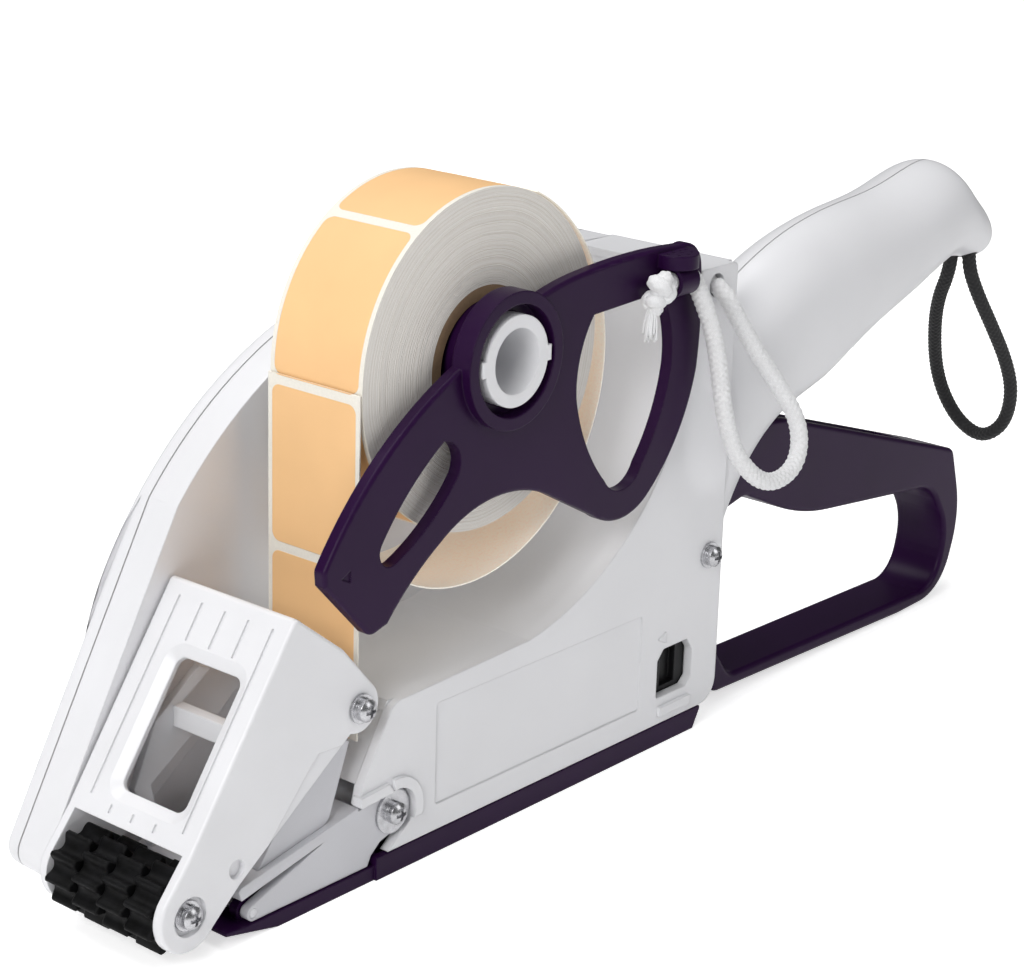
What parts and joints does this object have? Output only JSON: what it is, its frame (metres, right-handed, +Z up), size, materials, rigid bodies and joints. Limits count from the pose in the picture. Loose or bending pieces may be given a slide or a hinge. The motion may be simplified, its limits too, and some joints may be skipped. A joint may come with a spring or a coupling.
{
  "type": "label dispenser",
  "caption": "Hand-held label dispenser: open-sided housing with a label roll on a spool, hinged front cover with a lobed application roller, squeeze lever under a curved handle.",
  "frame": {"origin": "on the table plane, under the spool axis, in the middle plane of the label web", "axes": "+X rearward along the machine to the handle, +Z up, -Y the open side that the roll goes in from"},
  "size_m": [0.3029, 0.0712, 0.1344],
  "materials": {
    "white_abs": "satin moulded white",
    "purple_abs": "fine satin, very dark purple",
    "grey_abs": "satin moulded light grey",
    "black_abs": "satin black",
    "roller_rubber": "matt black",
    "screw_steel": "bright zinc plated",
    "shaft_steel": "ground",
    "gear_nylon": "natural nylon",
    "label_paper": "matt, peach labels on a cream liner",
    "liner_paper": "matt cream",
    "core_card": "brown board",
    "cord_white": "braided",
    "cord_black": "braided"
  },
  "bodies": {
    "root": {"main_frame": "white_abs", "side_cover": "white_abs", "side_cover_screws": "screw_steel", "spool_tube": "white_abs", "spool_screws": "screw_steel", "pivot_rod": "shaft_steel", "pivot_screw": "screw_steel", "pivot_washers": "screw_steel", "guide_plate": "grey_abs", "guide_frame": "white_abs", "peel_wedge": "grey_abs", "peel_plate": "shaft_steel", "peel_pin": "shaft_steel", "wedge_screw": "screw_steel", "wedge_washers": "screw_steel", "rear_screw": "screw_steel", "rear_washers": "screw_steel", "handle_near_half": "white_abs", "handle_far_half": "white_abs", "handle_screws": "screw_steel", "handle_joint_screws": "screw_steel", "lever_bushes": "gear_nylon", "feed_bushes": "gear_nylon", "return_spring": "shaft_steel", "label_web": "label_paper", "loose_wrap": "liner_paper", "tether_cord": "cord_white", "tether_stop": "cord_white", "wrist_cord": "cord_black", "wrist_knot": "cord_black"},
    "lever": {"lever": "purple_abs", "lever_shaft": "shaft_steel", "drive_sector": "gear_nylon"},
    "feed": {"feed_shaft": "shaft_steel", "feed_roller": "roller_rubber", "feed_gear": "gear_nylon", "one_way_clutch": "shaft_steel"},
    "front_cover": {"front_cover": "white_abs", "roller_axle": "shaft_steel", "axle_screw": "screw_steel", "axle_washers": "screw_steel"},
    "application_roller": {"star_wheel_1": "roller_rubber", "star_wheel_2": "roller_rubber", "star_wheel_3": "roller_rubber", "star_wheel_4": "roller_rubber"},
    "roll": {"roll_core": "core_card", "label_roll": "label_paper"},
    "retainer": {"retainer": "purple_abs", "retainer_sleeve": "purple_abs", "tether_knot": "cord_white"},
    "bottom_cover": {"bottom_cover": "purple_abs", "pinch_axle": "shaft_steel"},
    "pinch": {"pinch_roller": "roller_rubber"},
    "latch": {"latch": "black_abs"},
    "stroke": {"stroke_stop": "gear_nylon"},
    "knob": {"stroke_knob": "black_abs"}
  },
  "joints": [
    {"name": "lever_swing", "type": "hinge", "parent": "root", "child": "lever", "pos_m": [0.07, 0, 0.062], "axis": [0, -1, 0], "range_deg": [0, 16], "stiffness_Nm_per_rad": 0.6, "springref_deg": -6.88},
    {"name": "feed_spin", "type": "hinge", "parent": "root", "child": "feed", "pos_m": [0.02677, 0, 0.028], "axis": [0, -1, 0], "range_deg": [-70, 0]},
    {"name": "cover_swing", "type": "hinge", "parent": "root", "child": "front_cover", "pos_m": [-0.0375, 0, 0.0388], "axis": [0, 1, 0], "range_deg": [0, 35]},
    {"name": "apply_spin", "type": "hinge", "parent": "front_cover", "child": "application_roller", "pos_m": [-0.082, 0, 0.011], "axis": [0, 1, 0], "continuous": true},
    {"name": "roll_spin", "type": "hinge", "parent": "root", "child": "roll", "pos_m": [0, 0, 0.0999], "axis": [0, 1, 0], "continuous": true},
    {"name": "retainer_turn", "type": "hinge", "parent": "root", "child": "retainer", "pos_m": [0, 0, 0.1016], "axis": [0, -1, 0], "range_deg": [0, 40]},
    {"name": "bottom_swing", "type": "hinge", "parent": "root", "child": "bottom_cover", "pos_m": [-0.0651, 0, 0.005], "axis": [0, 1, 0], "range_deg": [0, 45]},
    {"name": "pinch_spin", "type": "hinge", "parent": "bottom_cover", "child": "pinch", "pos_m": [0.02677, 0, 0.0132], "axis": [0, -1, 0], "range_deg": [0, 95]},
    {"name": "latch_slide", "type": "slide", "parent": "root", "child": "latch", "axis": [-1, 0, 0], "range_m": [0, 0.003]},
    {"name": "stroke_slide", "type": "slide", "parent": "root", "child": "stroke", "axis": [1, 0, 0], "range_m": [0, 0.06]},
    {"name": "knob_turn", "type": "hinge", "parent": "stroke", "child": "knob", "pos_m": [-0.008, 0, 0.0095], "axis": [0, 1, 0], "range_deg": [-180, 180]}
  ],
  "couplings": [
    {"joint": "feed_spin", "follows": "lever_swing", "ratio": -4},
    {"joint": "pinch_spin", "follows": "lever_swing", "ratio": 5.6667}
  ]
}
